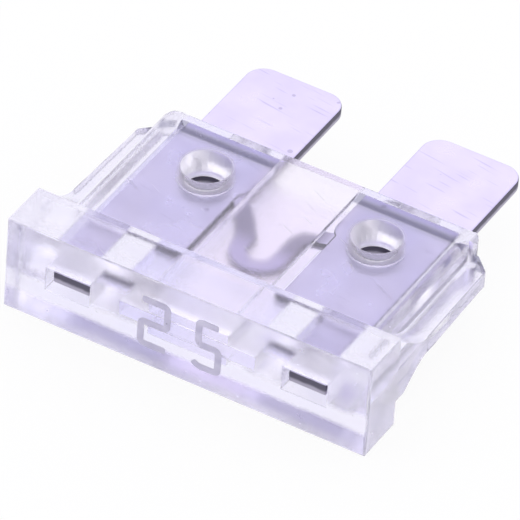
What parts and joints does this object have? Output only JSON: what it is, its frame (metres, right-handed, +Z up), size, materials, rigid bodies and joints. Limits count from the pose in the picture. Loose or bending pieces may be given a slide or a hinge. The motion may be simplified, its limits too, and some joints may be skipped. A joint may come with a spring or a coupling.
{
  "type": "blade fuse",
  "caption": "Regular plug-in blade fuse: a clear moulded housing with a thick head and side flanges, around a stamped element with flat blades.",
  "frame": {"origin": "middle of the footprint, on the surface that the fuse lies on", "axes": "+X across both blades, +Y from the head towards the blade tips, +Z up through the thickness of the housing"},
  "size_m": [0.0192, 0.019, 0.0051],
  "materials": {
    "clear_plastic": "clear, smooth moulded",
    "zinc": "satin rolled sheet with fine scratches"
  },
  "bodies": {
    "root": {"housing": "clear_plastic", "fuse_element": "zinc"}
  },
  "joints": []
}
